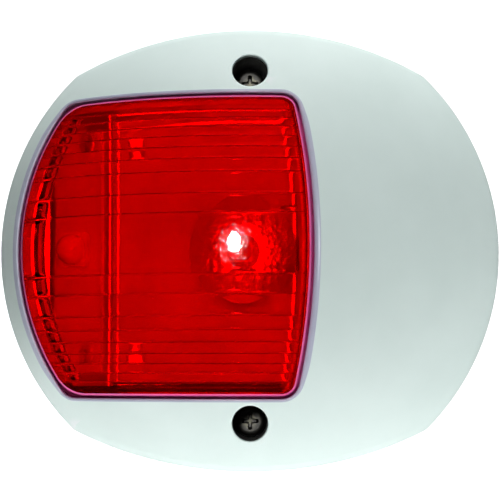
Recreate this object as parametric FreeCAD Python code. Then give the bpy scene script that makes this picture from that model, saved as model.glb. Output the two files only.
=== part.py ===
import FreeCAD, Part
import os
from math import atan2, cos, degrees, pi, sin, sqrt

# Port side navigation light for a small boat, held to a wall by two screws.
#
# It is drawn lying on its back: X runs aft, Y is up when the light is mounted, and Z is the height
# above the wall. save() stands each piece up, so that the wall is the plane Y = 0, the light faces
# -Y, and +Z is up. All sizes are in millimetres.

# whole light
WIDTH = 86.0
HEIGHT = 74.5
PROJECTION = 29.0
DOME_R = 52.0
EDGE_ARC_R = 72.0
CORNER_R = 2.5
DOME_Z = PROJECTION - DOME_R
LEAST_CORNER_R = 0.8
PART_GAP = 0.2

# cover
COVER_T = 1.6
COVER_EDGE_R = 1.2
COVER_GAP = 0.3
COVER_HOLE_R = 2.95
PEG_R = 1.5
PEG_FIT = 0.06
PEG_DEPTH = 4.0
PEG_END_GAP = 0.5
PEG_SPOTS = [(35.0, 13.0), (35.0, -13.0), (-20.0, 30.0), (-20.0, -30.0)]
SOCKET_WALL = 1.2

# window in the cover: a round forward edge, straight top and bottom, a slightly bowed aft edge
WINDOW_ARC_X = 2.2
WINDOW_ARC_R = 41.5
WINDOW_HALF_H = 25.0
WINDOW_AFT_X = 10.3
WINDOW_AFT_R = 113.0
WINDOW_CORNER_R = 3.0

# lens, its flange under the cover, and the seal under the flange
LENS_GAP = 0.55
LENS_FORE_CORNER_R = 6.5
LENS_R = DOME_R - 0.3
LENS_T = 2.0
LENS_WALL = 1.4
FLANGE_GROW = 1.5
FLANGE_R = DOME_R - COVER_T - PART_GAP
FLANGE_T = 1.2
SEAL_T = 0.8
SEAL_IN = 1.2
SEAT_R = FLANGE_R - FLANGE_T - SEAL_T
RIB_LINES = [4.8, 7.9, 11.4, 13.6, 15.5, 17.3, 18.9, 20.4, 21.8]
RIB_W = 0.5
RIB_DEPTH = 0.4
RIB_MARGIN = 0.6

# back gasket and base
GASKET_T = 1.5
GASKET_INSET = 0.8
BASE_INSET = COVER_T + COVER_GAP
FLOOR_TOP = 4.0
RIM_T = 1.5
RIM_TOP = 9.0
CHAMBER_IN = 2.0

# mounting screws: 2.9 mm self-tapping, pan head, each in a deep well
SCREW_Y = 29.0
SCREW_R = 1.45
SCREW_NECK_R = 1.05
SCREW_HOLE_R = 1.7
SCREW_BEHIND = 15.0
SCREW_TIP = 3.0
SCREW_TIP_R = 0.2
HEAD_R = 2.65
HEAD_H = 2.2
HEAD_ROUND = 0.9
CROSS_W = 0.7
CROSS_L = 3.0
CROSS_DEPTH = 1.2
WELL_R = 2.9
WELL_WALL = 0.9
WASHER_R = 2.5
WASHER_HOLE_R = 1.15
WASHER_T = 0.8

# lighting parts in the chamber
SPREADER_IN = 2.4
SPREADER_T = 1.5
SPREADER_TOP = FLOOR_TOP + SPREADER_T
BOARD_T = 1.0
BOARD_TOP = SPREADER_TOP + BOARD_T
ABEAM_X = -1.2
ABEAM_BOARD_X = -22.3
BOARD_GAP = 0.5
REFLECTOR_R = 9.0
REFLECTOR_MOUTH_R = 2.9
REFLECTOR_RISE = 2.2
REFLECTOR_T = 0.5
REFLECTOR_MID_RISE = 0.3 * REFLECTOR_RISE
LED_BASE = 3.4
LED_BASE_T = 0.8
LED_DOME_R = 1.5
LED_DOME_FOOT = 0.3
RIDGE_X = -22.7
RIDGE_Z = 12.5
WEDGE_FOOT_X = -34.0
FORWARD_AT = 7.0
FORWARD_BOARD = (-4.4, 5.2, -20.0, 20.0)
FORWARD_BASE = 5.6
FORWARD_BASE_T = 0.9
FORWARD_DOME_R = 2.5
BOARD_SCREW_R = 0.9
BOARD_HEAD_R = 1.7
BOARD_HEAD_H = 1.1
BOARD_CROSS_L = 2.0
BOARD_CROSS_W = 0.4
BOARD_CROSS_DEPTH = 0.6
BOARD_SCREW_IN = 3.0
BOARD_SCREW_Y = 17.5
BOARD_SCREW_GRIP = 2.5
FORWARD_SCREW_AT = 3.0

# driver compartment under the plain side of the cover
BAY = (11.0, 32.0, -15.0, 15.0)
BAY_WALL = 1.5
BAY_TOP = 10.2
LID_T = 1.4
LID_FORE_X = WINDOW_AFT_X + FLANGE_GROW + 2 * PART_GAP
LID_CORNER_R = 1.0
LID_SCREW_L = 5.0
LID_SCREWS = [(14.4, 12.8), (14.4, -12.8), (29.8, 12.8), (29.8, -12.8)]
BOSS_R = 2.0
BOSS_GAP = 0.3
LEDGE_TOP = 5.6
LEDGE_Y = 12.1
LEDGE_W = 1.6
DRIVER_BOARD = (14.2, 30.2, -13.2, 13.2)
DRIVER_BOARD_T = 1.2
DRIVER_TOP = LEDGE_TOP + DRIVER_BOARD_T

# parts on the driver board: centre X and Y, size along X and Y, height, edge radius
INDUCTOR = (25.5, 6.5, 5.0, 5.0, 2.8, 0.4)
SURGE_DIODE = (18.2, -7.5, 2.6, 4.2, 1.8, 0.25)
RESISTORS = [(19.5, 5.6, 1.2, 2.0, 0.6, 0.1), (21.9, 5.6, 1.2, 2.0, 0.6, 0.1)]
CHIP_X = 19.0
CHIP_W = 4.0
CHIP_H = 5.0
CHIP_LOW = 0.2
CHIP_TOP = 1.6
CHIP_LEG_PITCH = 1.27
CHIP_LEG_OUT = 1.0
CHIP_LEG_W = 0.4
CHIP_LEG_TOP = 0.5
CHIP_DOT_R = 0.3
CHIP_DOT_IN = 0.7
CAN_R = 1.5
CAN_H = 2.9
CAN_ROUND = 0.25
CAN_SPOTS = [(28.2, 2.2), (28.2, -1.4)]
TAG_X = (27.2, 29.4)
TAG_HALF_W = 0.9
TAG_T = 0.6
TAG_EAR_H = 2.2
TAG_SLOT_W = 0.7
TAG_SLOT_LOW = 1.2

# wire inlet
INLET = (24.0, -7.0)
LEAD_R = 1.0
LEAD_STEP = 1.7
GROMMET_R = 3.6
GROMMET_NECK_R = 2.9
GROMMET_LIP = 1.0

# jumper wires between the boards
WIRE_R = 0.35
WIRE_BEND = 0.9
LINK_YS = [7.6, 9.8]
LINK_XS = (5.4, 15.4)
LINK_Z = 8.4
LINK_SLOT_XS = (6.0, 14.0)
LINK_SLOT_W = 2.0
LINK_SLOT_H = 1.6
FORWARD_LINK_YS = [-8.0, -11.0]
FORWARD_LINK_X = -16.6
FORWARD_LINK_PAST = 2.2
FORWARD_LINK_RISE = 2.4

TALL = 40.0


def box(x0, x1, y0, y1, z0, z1):
    return Part.makeBox(x1 - x0, y1 - y0, z1 - z0, FreeCAD.Vector(x0, y0, z0))


def cylinder(r, x, y, z0, z1):
    return Part.makeCylinder(r, z1 - z0, FreeCAD.Vector(x, y, z0))


def ball(r):
    """A ball of radius r about the centre that all of the light's domed faces share."""
    return Part.makeSphere(r, FreeCAD.Vector(0, 0, DOME_Z))


def dome_height(r, x, y):
    return DOME_Z + sqrt(r ** 2 - x ** 2 - y ** 2)


def arc(a, b, c):
    points = [FreeCAD.Vector(x, y, 0) for x, y in (a, b, c)]
    return Part.Arc(*points).toShape()


def line(a, b):
    return Part.makeLine(FreeCAD.Vector(*a, 0), FreeCAD.Vector(*b, 0))


def upright_edges(solid, height):
    return [e for e in solid.Edges if abs(e.BoundBox.ZLength - height) < 1e-6]


def prism(edges, fore_r, aft_r, low, high):
    """A prism of a closed outline, with its fore (-X) and aft (+X) corners rounded."""
    height = high - low
    face = Part.Face(Part.Wire(edges))
    face.translate(FreeCAD.Vector(0, 0, low))
    solid = face.extrude(FreeCAD.Vector(0, 0, height))
    fore = [e for e in upright_edges(solid, height) if e.BoundBox.XMax < 0]
    solid = solid.makeFillet(fore_r, fore)
    aft = [e for e in upright_edges(solid, height) if e.BoundBox.XMin > 0]
    return solid.makeFillet(aft_r, aft)


def outline_prism(inset, low, high):
    """The light's outline: a circle cut at top and bottom by flatter arcs."""
    side = WIDTH / 2 - inset
    edge = EDGE_ARC_R - inset
    drop = EDGE_ARC_R - HEIGHT / 2
    y = (edge ** 2 - side ** 2 - drop ** 2) / (2 * drop)
    x = sqrt(side ** 2 - y ** 2)
    top = HEIGHT / 2 - inset
    edges = [
        arc((x, -y), (side, 0), (x, y)),
        arc((x, y), (0, top), (-x, y)),
        arc((-x, y), (-side, 0), (-x, -y)),
        arc((-x, -y), (0, -top), (x, -y)),
    ]
    corner = CORNER_R - inset / 2
    return prism(edges, corner, corner, low, high)


def window_prism(grow, low, high, fore_corner=WINDOW_CORNER_R):
    """The window's outline, grown outward by grow."""
    y = WINDOW_HALF_H + grow
    fore_r = WINDOW_ARC_R + grow
    aft_r = WINDOW_AFT_R + grow
    fore = WINDOW_ARC_X - fore_r
    aft = WINDOW_AFT_X + grow
    x0 = WINDOW_ARC_X - sqrt(fore_r ** 2 - y ** 2)
    x1 = aft - aft_r + sqrt(aft_r ** 2 - y ** 2)
    edges = [
        arc((x0, y), (fore, 0), (x0, -y)),
        line((x0, -y), (x1, -y)),
        arc((x1, -y), (aft, 0), (x1, y)),
        line((x1, y), (x0, y)),
    ]
    fore_corner = max(fore_corner + grow, LEAST_CORNER_R)
    aft_corner = max(WINDOW_CORNER_R + grow, LEAST_CORNER_R)
    return prism(edges, fore_corner, aft_corner, low, high)


def at_screws(r, low, high):
    """A cylinder at each mounting screw."""
    return [cylinder(r, 0, y, low, high) for y in (SCREW_Y, -SCREW_Y)]


def on_slope(shape):
    """Moves a shape from the origin, facing +Z, to the forward emitter's place on the wedge."""
    slope = atan2(RIDGE_Z - SPREADER_TOP, RIDGE_X - WEDGE_FOOT_X)
    shape.rotate(FreeCAD.Vector(0, 0, 0), FreeCAD.Vector(0, 1, 0), -degrees(slope))
    along = FreeCAD.Vector(RIDGE_X - FORWARD_AT * cos(slope), 0, RIDGE_Z - FORWARD_AT * sin(slope))
    shape.translate(along)
    return shape


def back_gasket():
    pad = outline_prism(GASKET_INSET, 0, GASKET_T)
    holes = at_screws(SCREW_HOLE_R, 0, GASKET_T)
    holes.append(cylinder(GROMMET_R + PART_GAP, *INLET, 0, GASKET_T))
    return pad.cut(holes)


def base_walls():
    """The walls that stand on the base's floor, before they are trimmed under the cover."""
    rim = outline_prism(BASE_INSET, GASKET_T, RIM_TOP)
    rim = rim.cut(outline_prism(BASE_INSET + RIM_T, GASKET_T, RIM_TOP))
    chamber = window_prism(FLANGE_GROW, GASKET_T, TALL)
    bay = box(*BAY, GASKET_T, BAY_TOP)
    wells = at_screws(WELL_R + WELL_WALL, GASKET_T, TALL)
    sockets = [cylinder(PEG_R + SOCKET_WALL, x, y, GASKET_T, TALL) for x, y in PEG_SPOTS]
    return [rim, chamber, bay, *wells, *sockets]


def bay_hollow():
    x0, x1, y0, y1 = BAY
    hollow = box(x0 + BAY_WALL, x1 - BAY_WALL, y0 + BAY_WALL, y1 - BAY_WALL, FLOOR_TOP, TALL)
    half = LEDGE_W / 2
    ledges = [box(x0, x1, y - half, y + half, FLOOR_TOP, LEDGE_TOP) for y in (LEDGE_Y, -LEDGE_Y)]
    bosses = [cylinder(BOSS_R, x, y, FLOOR_TOP, BAY_TOP) for x, y in LID_SCREWS]
    return hollow.cut(ledges + bosses)


def lens_seat():
    """The room for the lens's flange and its seal, clear of the screw wells."""
    room = window_prism(FLANGE_GROW + PART_GAP, GASKET_T, TALL).cut(ball(SEAT_R))
    return room.cut(at_screws(WELL_R + WELL_WALL, 0, TALL))


def mounting_base():
    floor = outline_prism(BASE_INSET, GASKET_T, FLOOR_TOP)
    solid = floor.fuse(base_walls())
    solid = solid.common(ball(DOME_R - COVER_T - COVER_GAP))
    solid = solid.common(outline_prism(BASE_INSET, 0, TALL))
    solid = solid.cut([lens_seat(), window_prism(-CHAMBER_IN, FLOOR_TOP, TALL), bay_hollow()])
    holes = at_screws(SCREW_HOLE_R, 0, FLOOR_TOP)
    holes += at_screws(WELL_R, FLOOR_TOP, TALL)
    holes.append(cylinder(GROMMET_NECK_R, *INLET, 0, FLOOR_TOP))
    for x, y in PEG_SPOTS:
        holes.append(cylinder(PEG_R + PEG_FIT, x, y, peg_tip(x, y) - PEG_END_GAP, TALL))
    for x, y in LID_SCREWS:
        holes.append(cylinder(BOARD_SCREW_R, x, y, FLOOR_TOP, TALL))
    return solid.cut([*holes, link_slot()]).removeSplitter()


def link_slot():
    """A slot through the walls between the chamber and the driver compartment, for the jumpers."""
    low_y, high_y = LINK_YS
    y0 = low_y - LINK_SLOT_W / 2
    y1 = high_y + LINK_SLOT_W / 2
    return box(*LINK_SLOT_XS, y0, y1, LINK_Z - LINK_SLOT_H / 2, LINK_Z + LINK_SLOT_H / 2)


def peg_tip(x, y):
    return dome_height(DOME_R - COVER_T, x, y) - PEG_DEPTH


def cover_shell():
    low = GASKET_T
    solid = outline_prism(0, low, TALL).common(ball(DOME_R))
    solid = solid.makeFillet(COVER_EDGE_R, upper_edges(solid, low))
    hollow = outline_prism(COVER_T, low, TALL).common(ball(DOME_R - COVER_T))
    solid = solid.cut(hollow)
    pegs = [cylinder(PEG_R, x, y, peg_tip(x, y), TALL) for x, y in PEG_SPOTS]
    within = ball(DOME_R - COVER_T / 2)
    solid = solid.fuse([peg.common(within) for peg in pegs])
    return solid.cut([window_prism(0, low, TALL), *at_screws(COVER_HOLE_R, low, TALL)])


def upper_edges(solid, low):
    """The edges where the dome meets the side walls: those that don't reach the foot."""
    return [e for e in solid.Edges if e.BoundBox.ZMin > low + 1e-6]


def rib_grooves():
    """Grooves across the inside of the lens, closer together towards its top and bottom."""
    skin = ball(LENS_R - LENS_T + RIB_DEPTH)
    slabs = []
    for y in RIB_LINES:
        for side in (y, -y):
            slabs.append(box(-WIDTH, WIDTH, side - RIB_W / 2, side + RIB_W / 2, 0, TALL))
    field = window_prism(-LENS_WALL - RIB_MARGIN, 0, TALL, LENS_FORE_CORNER_R)
    return [skin.common(slab).common(field) for slab in slabs]


def lens():
    dome = window_prism(-LENS_GAP, FLOOR_TOP, TALL, LENS_FORE_CORNER_R).common(ball(LENS_R))
    flange = window_prism(FLANGE_GROW, GASKET_T, TALL).common(ball(FLANGE_R))
    flange = flange.cut(at_screws(WELL_R + WELL_WALL + PART_GAP, 0, TALL))
    solid = dome.fuse(flange).cut(ball(FLANGE_R - FLANGE_T))
    hollow = window_prism(-LENS_WALL, 0, TALL, LENS_FORE_CORNER_R).common(ball(LENS_R - LENS_T))
    return solid.cut([hollow, *rib_grooves()])


def lens_seal():
    ring = window_prism(FLANGE_GROW, GASKET_T, TALL).cut(window_prism(-SEAL_IN, 0, TALL))
    ring = ring.common(ball(FLANGE_R - FLANGE_T)).cut(ball(SEAT_R))
    return ring.cut(at_screws(WELL_R + WELL_WALL + PART_GAP, 0, TALL))


def heat_spreader():
    plate = window_prism(-SPREADER_IN, FLOOR_TOP, SPREADER_TOP)
    return plate.cut(flat_screw_holes())


def forward_wedge():
    low = SPREADER_TOP
    points = [(RIDGE_X, low), (RIDGE_X, RIDGE_Z), (WEDGE_FOOT_X, low), (RIDGE_X, low)]
    outline = Part.makePolygon([FreeCAD.Vector(x, -TALL, z) for x, z in points])
    wedge = Part.Face(outline).extrude(FreeCAD.Vector(0, 2 * TALL, 0))
    return wedge.common(window_prism(-SPREADER_IN, 0, TALL)).cut(sloping_screw_holes())


def abeam_board():
    board = box(ABEAM_BOARD_X, WIDTH, -HEIGHT, HEIGHT, SPREADER_TOP, BOARD_TOP)
    return board.common(window_prism(-SPREADER_IN - BOARD_GAP, 0, TALL)).cut(flat_screw_holes())


def forward_board():
    board = on_slope(box(*FORWARD_BOARD, 0, BOARD_T))
    return board.common(window_prism(-SPREADER_IN - BOARD_GAP, 0, TALL)).cut(sloping_screw_holes())


def flat_screw_holes():
    x = ABEAM_BOARD_X + BOARD_SCREW_IN
    return [cylinder(BOARD_SCREW_R, x, y, FLOOR_TOP, TALL) for y in (BOARD_SCREW_Y, -BOARD_SCREW_Y)]


def sloping_screw_holes():
    depth = BOARD_SCREW_GRIP
    ys = (BOARD_SCREW_Y, -BOARD_SCREW_Y)
    return [on_slope(cylinder(BOARD_SCREW_R, FORWARD_SCREW_AT, y, -depth, depth)) for y in ys]


def led_base(side, thick):
    """A square emitter package with clipped corners."""
    half = side / 2
    block = box(-half, half, -half, half, 0, thick)
    return block.makeChamfer(side / 10, upright_edges(block, thick))


def led_dome(r, low):
    """A half ball on a short foot."""
    rise = low + LED_DOME_FOOT
    foot = Part.makeCylinder(r, LED_DOME_FOOT, FreeCAD.Vector(0, 0, low))
    top = Part.makeSphere(r, FreeCAD.Vector(0, 0, rise))
    return foot.fuse(top.common(box(-r, r, -r, r, rise, rise + r)))


def abeam_at(shape):
    shape.translate(FreeCAD.Vector(ABEAM_X, 0, BOARD_TOP))
    return shape


def abeam_reflector():
    """A shallow dish round the abeam emitter, turned about the emitter's axis."""
    r0 = REFLECTOR_MOUTH_R
    r1 = REFLECTOR_R
    up = FreeCAD.Vector(0, 0, REFLECTOR_T)
    profile = [(r0, 0), ((r0 + r1) / 2, REFLECTOR_MID_RISE), (r1, REFLECTOR_RISE)]
    lower = [FreeCAD.Vector(x, 0, z) for x, z in profile]
    upper = [v + up for v in lower]
    edges = [
        Part.Arc(*lower).toShape(),
        Part.makeLine(lower[-1], upper[-1]),
        Part.Arc(*reversed(upper)).toShape(),
        Part.makeLine(upper[0], lower[0]),
    ]
    section = Part.Face(Part.Wire(edges))
    dish = section.revolve(FreeCAD.Vector(0, 0, 0), FreeCAD.Vector(0, 0, 1), 360)
    return abeam_at(Part.makeSolid(dish.Shells[0]))


def small_screw(length):
    """A small cross-head screw standing on Z = 0, head up."""
    head = Part.makeCylinder(BOARD_HEAD_R, BOARD_HEAD_H)
    rim = [e for e in head.Edges if e.BoundBox.ZMin > BOARD_HEAD_H - 1e-6]
    head = head.makeFillet(BOARD_HEAD_H / 2, rim)
    long = BOARD_CROSS_L / 2
    wide = BOARD_CROSS_W / 2
    low = BOARD_HEAD_H - BOARD_CROSS_DEPTH
    cross = [box(-long, long, -wide, wide, low, TALL), box(-wide, wide, -long, long, low, TALL)]
    shank = Part.makeCylinder(BOARD_SCREW_R, length, FreeCAD.Vector(0, 0, -length))
    return head.cut(cross).fuse(shank)


def board_screws():
    """Four screws: two through the flat board, two through the sloping one."""
    screws = []
    for y in (BOARD_SCREW_Y, -BOARD_SCREW_Y):
        flat = small_screw(BOARD_T + SPREADER_T)
        flat.translate(FreeCAD.Vector(ABEAM_BOARD_X + BOARD_SCREW_IN, y, BOARD_TOP))
        sloping = small_screw(BOARD_T + BOARD_SCREW_GRIP)
        sloping.translate(FreeCAD.Vector(FORWARD_SCREW_AT, y, BOARD_T))
        screws += [flat, on_slope(sloping)]
    return screws


def driver_board():
    board = box(*DRIVER_BOARD, LEDGE_TOP, DRIVER_TOP)
    gaps = [cylinder(BOSS_R + BOSS_GAP, x, y, LEDGE_TOP, DRIVER_TOP) for x, y in LID_SCREWS]
    gaps.append(cylinder(GROMMET_NECK_R, *INLET, LEDGE_TOP, DRIVER_TOP))
    return board.cut(gaps)


def driver_lid():
    _, x1, y0, y1 = BAY
    plate = box(LID_FORE_X, x1, y0, y1, BAY_TOP, BAY_TOP + LID_T)
    plate = plate.makeFillet(LID_CORNER_R, upright_edges(plate, LID_T))
    return plate.cut([cylinder(BOARD_SCREW_R, x, y, BAY_TOP, TALL) for x, y in LID_SCREWS])


def lid_screws():
    screws = []
    for x, y in LID_SCREWS:
        screw = small_screw(LID_SCREW_L)
        screw.translate(FreeCAD.Vector(x, y, BAY_TOP + LID_T))
        screws.append(screw)
    return screws


def rounded_block(x, y, dx, dy, dz, r):
    """A part on the driver board, with its top and upright edges rounded."""
    block = box(x - dx / 2, x + dx / 2, y - dy / 2, y + dy / 2, DRIVER_TOP, DRIVER_TOP + dz)
    free = [e for e in block.Edges if e.BoundBox.ZMax > DRIVER_TOP + dz - 1e-6]
    return block.makeFillet(r, free)


def driver_chip():
    """An eight-legged chip with a dimple at its first leg."""
    x0 = CHIP_X - CHIP_W / 2
    x1 = CHIP_X + CHIP_W / 2
    top = DRIVER_TOP + CHIP_TOP
    leg_top = DRIVER_TOP + CHIP_LEG_TOP
    body = box(x0, x1, -CHIP_H / 2, CHIP_H / 2, DRIVER_TOP + CHIP_LOW, top)
    legs = []
    for i in range(4):
        y = (i - 1.5) * CHIP_LEG_PITCH
        y0 = y - CHIP_LEG_W / 2
        y1 = y + CHIP_LEG_W / 2
        legs.append(box(x0 - CHIP_LEG_OUT, x1 + CHIP_LEG_OUT, y0, y1, DRIVER_TOP, leg_top))
    dot = cylinder(CHIP_DOT_R, x0 + CHIP_DOT_IN, CHIP_DOT_IN - CHIP_H / 2, top - CHIP_LOW / 2, top)
    return body.fuse(legs).cut(dot)


def filter_capacitors():
    cans = []
    top = DRIVER_TOP + CAN_H
    for x, y in CAN_SPOTS:
        can = cylinder(CAN_R, x, y, DRIVER_TOP, top)
        cans.append(can.makeFillet(CAN_ROUND, [e for e in can.Edges if e.BoundBox.ZMin > top - 1e-6]))
    return cans


def lead_terminals():
    """Two tinned solder tags, one beside each lead's hole."""
    x0, x1 = TAG_X
    tags = []
    for side in (-1, 1):
        y = INLET[1] + side * LEAD_STEP
        y0 = y - TAG_HALF_W
        y1 = y + TAG_HALF_W
        tag = box(x0, x1, y0, y1, DRIVER_TOP, DRIVER_TOP + TAG_T)
        ear = box(x0, x0 + TAG_T, y0, y1, DRIVER_TOP, DRIVER_TOP + TAG_EAR_H)
        slot = box(x0, x1, y - TAG_SLOT_W / 2, y + TAG_SLOT_W / 2, DRIVER_TOP + TAG_SLOT_LOW, TALL)
        tags.append(tag.fuse(ear).cut(slot))
    return tags


def jumper(start, end, y, foot_a, foot_b, top):
    """A bare wire that rises from foot_a at X = start, runs level at top, and drops to foot_b."""
    turn = WIRE_BEND
    c = turn * cos(pi / 4)
    step = 1 if end > start else -1

    def v(x, z):
        return FreeCAD.Vector(x, y, z)

    path = [
        Part.makeLine(v(start, foot_a), v(start, top - turn)),
        Part.Arc(
            v(start, top - turn), v(start + step * (turn - c), top - turn + c), v(start + step * turn, top)
        ).toShape(),
        Part.makeLine(v(start + step * turn, top), v(end - step * turn, top)),
        Part.Arc(
            v(end - step * turn, top), v(end - step * (turn - c), top - turn + c), v(end, top - turn)
        ).toShape(),
        Part.makeLine(v(end, top - turn), v(end, foot_b)),
    ]
    ring = Part.Wire([Part.makeCircle(WIRE_R, v(start, foot_a), FreeCAD.Vector(0, 0, 1))])
    return Part.Wire(path).makePipeShell([ring], True, False)


def driver_jumpers():
    return [jumper(*LINK_XS, y, BOARD_TOP, DRIVER_TOP, LINK_Z) for y in LINK_YS]


def forward_jumpers():
    """Wires from the flat board over the wedge's ridge to the sloping board."""
    slope = (RIDGE_Z - SPREADER_TOP) / (RIDGE_X - WEDGE_FOOT_X)
    lift = BOARD_T * sqrt(1 + slope ** 2)
    landing = RIDGE_Z - (FORWARD_LINK_PAST - WIRE_R) * slope + lift
    end = RIDGE_X - FORWARD_LINK_PAST
    top = RIDGE_Z + FORWARD_LINK_RISE
    return [jumper(FORWARD_LINK_X, end, y, BOARD_TOP, landing, top) for y in FORWARD_LINK_YS]


def wire_grommet():
    low = GASKET_T - GROMMET_LIP
    high = FLOOR_TOP + GROMMET_LIP
    plug = cylinder(GROMMET_NECK_R, *INLET, low, high)
    lips = [cylinder(GROMMET_R, *INLET, low, GASKET_T), cylinder(GROMMET_R, *INLET, FLOOR_TOP, high)]
    plug = plug.fuse(lips)
    x, y = INLET
    return plug.cut([cylinder(LEAD_R, x, y + side * LEAD_STEP, 0, TALL) for side in (-1, 1)])


def mounting_screw(y):
    """A pan-head screw with a cross recess, a plain neck and a threaded length behind the wall."""
    seat = FLOOR_TOP + WASHER_T
    head = cylinder(HEAD_R, 0, y, seat, seat + HEAD_H)
    rim = [e for e in head.Edges if e.BoundBox.ZMin > seat + HEAD_H - 1e-6]
    head = head.makeFillet(HEAD_ROUND, rim)
    top = seat + HEAD_H
    half = CROSS_L / 2
    slot = CROSS_W / 2
    cross = [
        box(-half, half, y - slot, y + slot, top - CROSS_DEPTH, top),
        box(-slot, slot, y - half, y + half, top - CROSS_DEPTH, top),
    ]
    neck = cylinder(SCREW_NECK_R, 0, y, 0, seat)
    thread = cylinder(SCREW_R, 0, y, SCREW_TIP - SCREW_BEHIND, 0)
    tip = Part.makeCone(SCREW_TIP_R, SCREW_R, SCREW_TIP, FreeCAD.Vector(0, y, -SCREW_BEHIND))
    return head.cut(cross).fuse([neck, thread, tip])


def sealing_washer(y):
    ring = cylinder(WASHER_R, 0, y, FLOOR_TOP, FLOOR_TOP + WASHER_T)
    return ring.cut(cylinder(WASHER_HOLE_R, 0, y, 0, TALL))


def save(name, shape):
    """Stands the piece up and writes it. A list is a group of separate solids in one node."""
    solids = shape if isinstance(shape, list) else [shape]
    flat = [s for item in solids for s in item.Solids]
    whole = flat[0] if len(flat) == 1 else Part.makeCompound(flat)
    whole.rotate(FreeCAD.Vector(0, 0, 0), FreeCAD.Vector(1, 0, 0), 90)
    whole.exportStep(f"parts/{name}.step")
    print(name, len(flat), whole.isValid(), round(whole.Volume, 1))


os.makedirs("parts", exist_ok=True)
save("back_gasket", back_gasket())
save("mounting_base", mounting_base())
save("cover_shell", cover_shell())
save("lens", lens())
save("lens_seal", lens_seal())
save("heat_spreader", heat_spreader())
save("forward_wedge", forward_wedge())
save("abeam_board", abeam_board())
save("forward_board", forward_board())
save("abeam_led_base", abeam_at(led_base(LED_BASE, LED_BASE_T)))
save("abeam_led_dome", abeam_at(led_dome(LED_DOME_R, LED_BASE_T)))
save("abeam_reflector", abeam_reflector())
lift = FreeCAD.Vector(0, 0, BOARD_T)
save("forward_led_base", on_slope(led_base(FORWARD_BASE, FORWARD_BASE_T).translated(lift)))
save("forward_led_dome", on_slope(led_dome(FORWARD_DOME_R, BOARD_T + FORWARD_BASE_T)))
save("board_screws", board_screws())
save("driver_board", driver_board())
save("driver_chip", driver_chip())
save("power_inductor", rounded_block(*INDUCTOR))
save("filter_capacitors", filter_capacitors())
save("surge_diode", rounded_block(*SURGE_DIODE))
save("sense_resistors", [rounded_block(*size) for size in RESISTORS])
save("lead_terminals", lead_terminals())
save("driver_jumpers", driver_jumpers())
save("forward_jumpers", forward_jumpers())
save("driver_lid", driver_lid())
save("lid_screws", lid_screws())
save("wire_grommet", wire_grommet())
for name, y in (("top", SCREW_Y), ("bottom", -SCREW_Y)):
    save(f"{name}_screw", mounting_screw(y))
    save(f"{name}_washer", sealing_washer(y))
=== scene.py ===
from math import atan2, cos, hypot, pi, radians, sin, sqrt, tan

import bmesh
import bpy
import numpy as np
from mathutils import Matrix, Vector, geometry, noise


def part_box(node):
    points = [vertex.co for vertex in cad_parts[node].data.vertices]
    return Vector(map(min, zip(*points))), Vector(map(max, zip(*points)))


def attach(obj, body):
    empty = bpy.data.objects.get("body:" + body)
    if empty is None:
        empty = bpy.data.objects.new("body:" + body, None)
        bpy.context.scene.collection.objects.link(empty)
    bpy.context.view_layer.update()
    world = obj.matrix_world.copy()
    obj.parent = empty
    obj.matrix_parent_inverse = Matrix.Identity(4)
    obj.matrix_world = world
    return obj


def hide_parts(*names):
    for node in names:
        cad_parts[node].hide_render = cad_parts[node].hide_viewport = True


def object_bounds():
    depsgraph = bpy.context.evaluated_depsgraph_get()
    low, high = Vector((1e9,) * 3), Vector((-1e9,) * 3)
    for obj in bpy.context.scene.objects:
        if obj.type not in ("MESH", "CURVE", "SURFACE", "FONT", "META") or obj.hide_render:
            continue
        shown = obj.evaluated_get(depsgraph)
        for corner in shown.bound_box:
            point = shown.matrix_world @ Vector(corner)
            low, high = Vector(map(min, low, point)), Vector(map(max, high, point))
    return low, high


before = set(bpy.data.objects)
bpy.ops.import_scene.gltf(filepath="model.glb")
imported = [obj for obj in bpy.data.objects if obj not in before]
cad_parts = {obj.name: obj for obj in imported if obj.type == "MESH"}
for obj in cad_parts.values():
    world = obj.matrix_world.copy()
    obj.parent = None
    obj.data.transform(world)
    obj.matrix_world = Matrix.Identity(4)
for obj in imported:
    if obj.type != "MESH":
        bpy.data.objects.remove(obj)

# Port side navigation light. Shapes are worked out lying down, in millimetres: x aft, y up, and h the
# height above the wall. Build.piece() stands them up in the row frame, in metres. The nodes in CARRIED keep
# their CAD mesh and only take a material here.

cad_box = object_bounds()
low_corner = cad_box[0]

# whole light
SIDE_R = 43.0
EDGE_R = 72.0
EDGE_DROP = EDGE_R - 37.25
CORNER_R = 2.5
DOME_R = 52.0
DOME_H = -23.0
GASKET_T = 1.5
GASKET_INSET = 0.8

# cover
COVER_T = 1.6
EDGE_ROLL = 1.2
WINDOW_ROLL = 1.0
HOLE_ROLL = 0.3
HOLE_R = 2.95
FOOT_CHAMFER = 0.2
PEG_R = 1.5
PEG_DEPTH = 4.0
PEG_FILLET = 0.4
PEG_CHAMFER = 0.3
PEG_SPOTS = [(35.0, 13.0), (35.0, -13.0), (-20.0, 30.0), (-20.0, -30.0)]

# window
FORE_X = 2.2
FORE_R = 41.5
AFT_R = 113.0
AFT_X = 10.3 - AFT_R
HALF_H = 25.0
WINDOW_CORNER = 3.0
LEAST_CORNER = 0.8

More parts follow.
